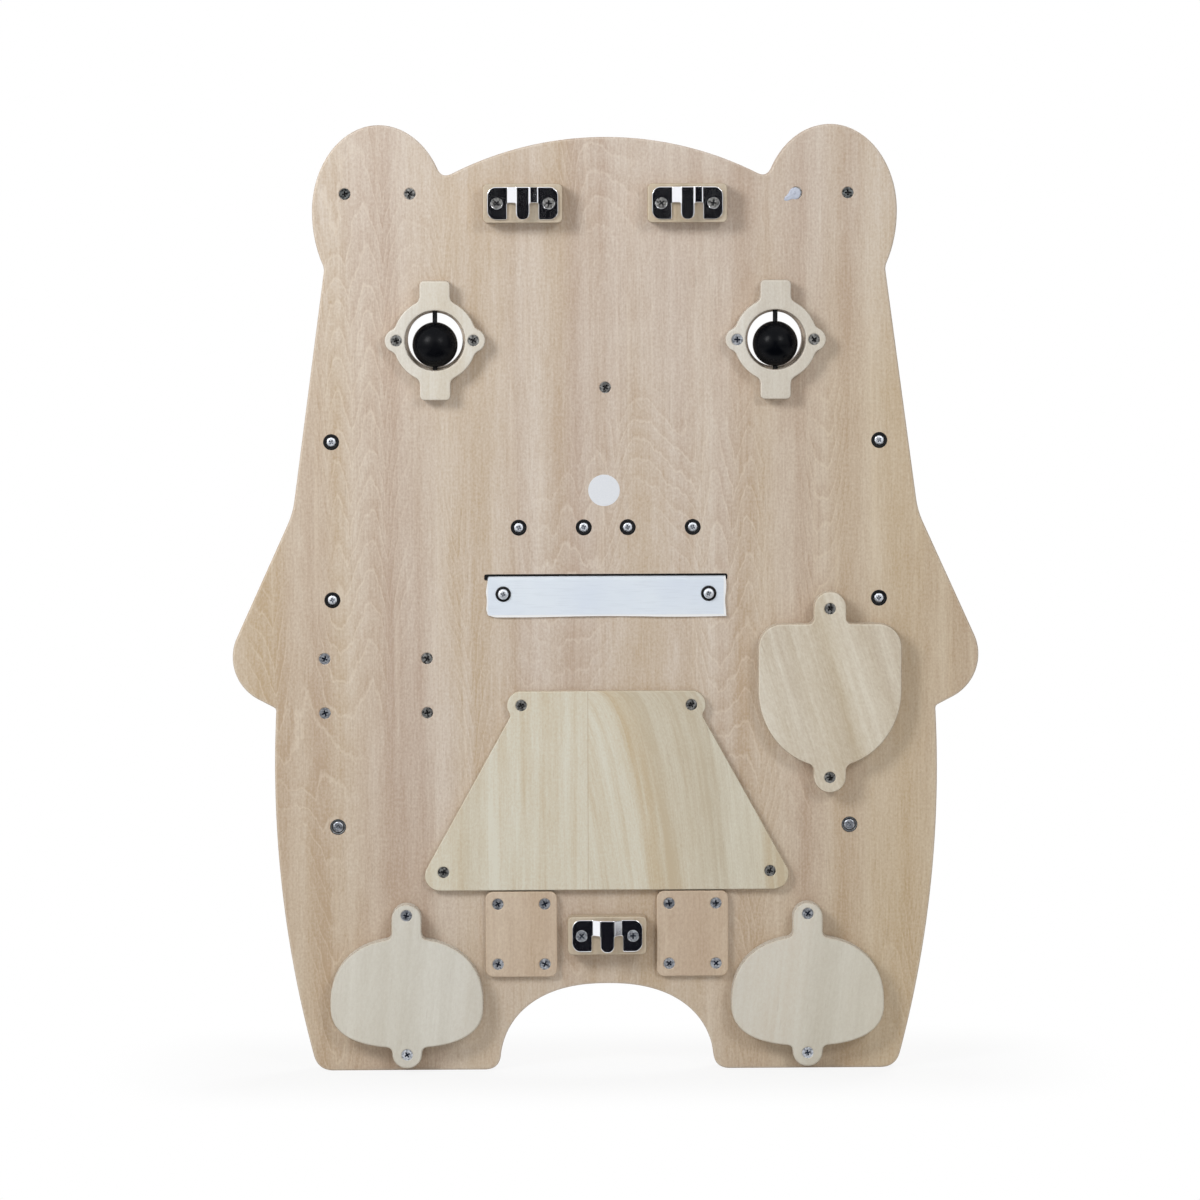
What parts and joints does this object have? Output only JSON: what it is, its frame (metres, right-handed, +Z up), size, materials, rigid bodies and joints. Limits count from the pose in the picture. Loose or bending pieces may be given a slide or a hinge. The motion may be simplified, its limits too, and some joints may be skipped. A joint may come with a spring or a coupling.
{
  "type": "busy board",
  "caption": "Wall-hung wooden busy board in a bear outline, with eye balls that spin, sliding beads and knobs, turning dials and wheels, a bolt latch, a mirror and a neckerchief.",
  "frame": {"origin": "on the wall plane, the rear of the hanger plates, midway between the two upper hangers", "axes": "+Z up, +X to the right seen from the play side, play side faces -Y, rear with the hangers faces +Y"},
  "size_m": [0.4728, 0.0814, 0.5999],
  "materials": {
    "board_wood": "satin lacquered plywood, pinkish beige, upright grain",
    "pale_wood": "satin lacquered plywood, pale",
    "cover_wood": "satin lacquered plywood, yellowish, broad grain",
    "painted_wood": "satin painted wood, terracotta",
    "white_paint": "satin painted wood, off-white",
    "black_ball": "satin black lacquer",
    "black_steel": "black coated steel wire",
    "zinc_steel": "bright zinc plated steel",
    "mirror_face": "acrylic mirror",
    "white_cloth": "white woven cloth",
    "soft_plush": "short plush"
  },
  "bodies": {
    "panel": {"board": "board_wood", "eye_bezel_left": "pale_wood", "eye_bezel_right": "pale_wood", "eye_axle_left": "black_steel", "eye_axle_right": "black_steel", "hanger_block_left": "pale_wood", "hanger_block_right": "pale_wood", "hanger_block_low": "pale_wood", "hanger_plate_left": "zinc_steel", "hanger_plate_right": "zinc_steel", "hanger_plate_low": "zinc_steel", "tummy_cover": "cover_wood", "dial_plate_left": "board_wood", "dial_plate_right": "board_wood", "foot_cover_left": "pale_wood", "foot_cover_right": "pale_wood", "foot_pad_left": "soft_plush", "foot_pad_right": "soft_plush", "paw_cover": "pale_wood", "paw_mirror": "mirror_face", "ear_pad_left": "white_paint", "ear_pad_right": "white_paint", "nose": "painted_wood", "side_wire_left": "black_steel", "side_wire_right": "black_steel", "mouth_wire_left": "black_steel", "mouth_wire_right": "black_steel", "neckerchief": "white_cloth", "pivot_cap_left": "pale_wood", "pivot_cap_right": "pale_wood", "pivot_screw_left": "zinc_steel", "pivot_screw_right": "zinc_steel", "latch_base": "pale_wood", "latch_guide_inner": "painted_wood", "latch_guide_outer": "painted_wood"},
    "eye_left": {"eye_ball_left": "black_ball"},
    "eye_right": {"eye_ball_right": "black_ball"},
    "slider_left": {"climber_left": "painted_wood", "climber_disc_left": "pale_wood"},
    "slider_middle": {"climber_middle": "painted_wood", "climber_disc_middle": "pale_wood"},
    "slider_right": {"climber_right": "painted_wood", "climber_disc_right": "pale_wood"},
    "dial_knob_left": {"dial_left": "painted_wood", "dial_disc_left": "pale_wood"},
    "dial_knob_right": {"dial_right": "painted_wood", "dial_disc_right": "pale_wood"},
    "side_bead_l": {"side_bead_left": "painted_wood"},
    "side_bead_r": {"side_bead_right": "painted_wood"},
    "mouth_bead_l": {"mouth_bead_left": "white_paint"},
    "mouth_bead_r": {"mouth_bead_right": "white_paint"},
    "spinner_left": {"wheel_left": "pale_wood"},
    "spinner_right": {"wheel_right": "pale_wood"},
    "bolt": {"latch_bolt": "painted_wood"}
  },
  "joints": [
    {"name": "eye_left_spin", "type": "hinge", "parent": "panel", "child": "eye_left", "pos_m": [-0.1071, -0.0163, -0.0858], "axis": [0, 0, 1], "continuous": true},
    {"name": "eye_right_spin", "type": "hinge", "parent": "panel", "child": "eye_right", "pos_m": [0.1071, -0.0163, -0.0858], "axis": [0, 0, 1], "continuous": true},
    {"name": "climb_left", "type": "slide", "parent": "panel", "child": "slider_left", "axis": [0.4472, 0, 0.8944], "range_m": [0, 0.0804]},
    {"name": "climb_middle", "type": "slide", "parent": "panel", "child": "slider_middle", "axis": [0, 0, 1], "range_m": [0, 0.072]},
    {"name": "climb_right", "type": "slide", "parent": "panel", "child": "slider_right", "axis": [-0.4472, 0, 0.8944], "range_m": [0, 0.0804]},
    {"name": "dial_left_turn", "type": "hinge", "parent": "panel", "child": "dial_knob_left", "pos_m": [-0.0544, -0.0184, -0.463], "axis": [0, -1, 0], "continuous": true},
    {"name": "dial_right_turn", "type": "hinge", "parent": "panel", "child": "dial_knob_right", "pos_m": [0.0544, -0.0184, -0.463], "axis": [0, -1, 0], "continuous": true},
    {"name": "side_bead_left_slide", "type": "slide", "parent": "panel", "child": "side_bead_l", "axis": [0, 0, 1], "range_m": [0, 0.048]},
    {"name": "side_bead_right_slide", "type": "slide", "parent": "panel", "child": "side_bead_r", "axis": [0, 0, 1], "range_m": [0, 0.048]},
    {"name": "mouth_bead_left_slide", "type": "slide", "parent": "panel", "child": "mouth_bead_l", "axis": [-1, 0, 0], "range_m": [0, 0.0161]},
    {"name": "mouth_bead_right_slide", "type": "slide", "parent": "panel", "child": "mouth_bead_r", "axis": [1, 0, 0], "range_m": [0, 0.0161]},
    {"name": "wheel_left_spin", "type": "hinge", "parent": "panel", "child": "spinner_left", "pos_m": [-0.1545, -0.0334, -0.3943], "axis": [0, -1, 0], "continuous": true},
    {"name": "wheel_right_spin", "type": "hinge", "parent": "panel", "child": "spinner_right", "pos_m": [0.1705, -0.0334, -0.3943], "axis": [0, -1, 0], "continuous": true},
    {"name": "bolt_slide", "type": "slide", "parent": "panel", "child": "bolt", "axis": [-1, 0, 0], "range_m": [0, 0.02]}
  ]
}
